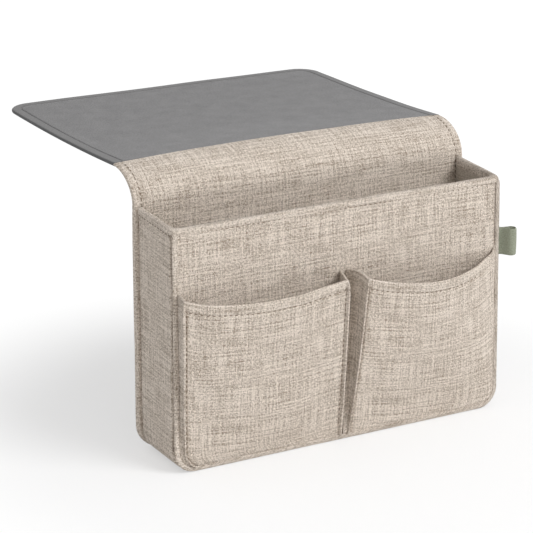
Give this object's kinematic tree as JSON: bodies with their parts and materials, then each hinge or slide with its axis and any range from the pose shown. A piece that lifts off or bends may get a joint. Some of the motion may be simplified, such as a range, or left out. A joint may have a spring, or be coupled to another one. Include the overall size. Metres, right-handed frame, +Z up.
{
  "type": "bedside caddy",
  "caption": "Boarded linen bedside caddy: an open box with pleated front pockets and a side loop, hung from a grey flap that slides under a mattress.",
  "frame": {"origin": "middle of the box's underside, halfway between the front panel's face and the back panel's rear face", "axes": "+X to the right as seen from the front, +Y to the back along the flap, +Z up"},
  "size_m": [0.3163, 0.352, 0.232],
  "materials": {
    "linen": "matte",
    "lining": "matte",
    "board": "matte",
    "light_board": "matte",
    "suede": "matte",
    "grip": "matte",
    "webbing": "matte"
  },
  "bodies": {
    "box": {"back_panel_front_skin": "linen", "back_panel_board": "board", "back_panel_rear_skin": "lining", "back_seam_binding": "linen", "front_panel_skin": "linen", "front_panel_board": "board", "front_panel_lining": "lining", "front_seam_binding": "linen", "gusset_skin": "linen", "gusset_lining": "lining", "left_side_board": "board", "right_side_board": "board", "bottom_board": "board", "rim_binding": "linen", "left_pocket_left_pleat": "linen", "left_pocket_right_pleat": "linen", "right_pocket_left_pleat": "linen", "right_pocket_right_pleat": "linen", "bend_skin": "linen", "bend_lining": "lining"},
    "flap": {"flap_top_skin": "suede", "flap_board": "light_board", "flap_grip_skin": "grip"},
    "left_pocket": {"left_pocket_panel": "linen"},
    "right_pocket": {"right_pocket_panel": "linen"},
    "loop": {"side_loop": "webbing"}
  },
  "joints": [
    {"name": "flap_fold", "type": "hinge", "parent": "box", "child": "flap", "pos_m": [0, 0.0379, 0.225], "axis": [1, 0, 0], "range_deg": [-62, 90], "deforming": ["bend_skin", "bend_lining"]},
    {"name": "left_pocket_open", "type": "hinge", "parent": "box", "child": "left_pocket", "pos_m": [-0.075, -0.034, 0.0033], "axis": [1, 0, 0], "range_deg": [-4.5, 4], "deforming": ["left_pocket_left_pleat", "left_pocket_right_pleat"]},
    {"name": "right_pocket_open", "type": "hinge", "parent": "box", "child": "right_pocket", "pos_m": [0.075, -0.034, 0.0033], "axis": [1, 0, 0], "range_deg": [-4.5, 4], "deforming": ["right_pocket_left_pleat", "right_pocket_right_pleat"]},
    {"name": "loop_swing", "type": "hinge", "parent": "box", "child": "loop", "pos_m": [0.1515, -0.0321, 0.146], "axis": [0, 0, 1], "range_deg": [-30, 90]}
  ]
}
